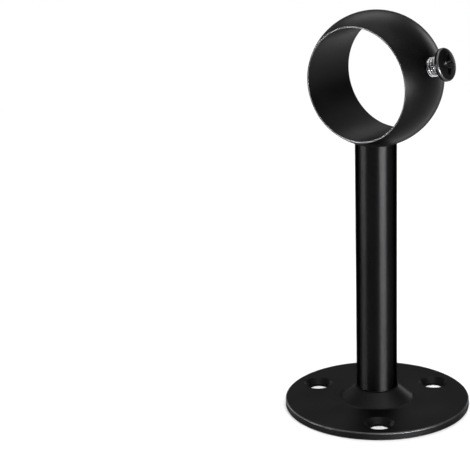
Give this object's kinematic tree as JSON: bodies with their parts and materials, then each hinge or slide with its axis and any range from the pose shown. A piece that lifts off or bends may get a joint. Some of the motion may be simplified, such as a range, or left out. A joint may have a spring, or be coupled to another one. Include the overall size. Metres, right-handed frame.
{
  "type": "curtain pole bracket",
  "caption": "Ring-ended curtain pole bracket: a round screw-on flange, a straight post and a ball-shaped ring with a side clamp screw.",
  "frame": {"origin": "centre of the flange's back face, which seats on the wall or ceiling", "axes": "+Z along the post from the flange to the ring, +Y along the pole, +X towards the clamp screw"},
  "size_m": [0.05, 0.05, 0.1083],
  "materials": {
    "black_plate": "satin",
    "black_rod": "satin",
    "black_casting": "satin",
    "screw_steel": "satin"
  },
  "bodies": {
    "bracket": {"flange": "black_plate", "post": "black_rod", "ring": "black_casting", "foot_screw": "screw_steel"},
    "clamp": {"clamp_screw": "screw_steel"}
  },
  "joints": [
    {"name": "clamp_travel", "type": "slide", "parent": "bracket", "child": "clamp", "axis": [0.9636, 0, 0.2672], "range_m": [-0.0028, 0.0022]}
  ]
}
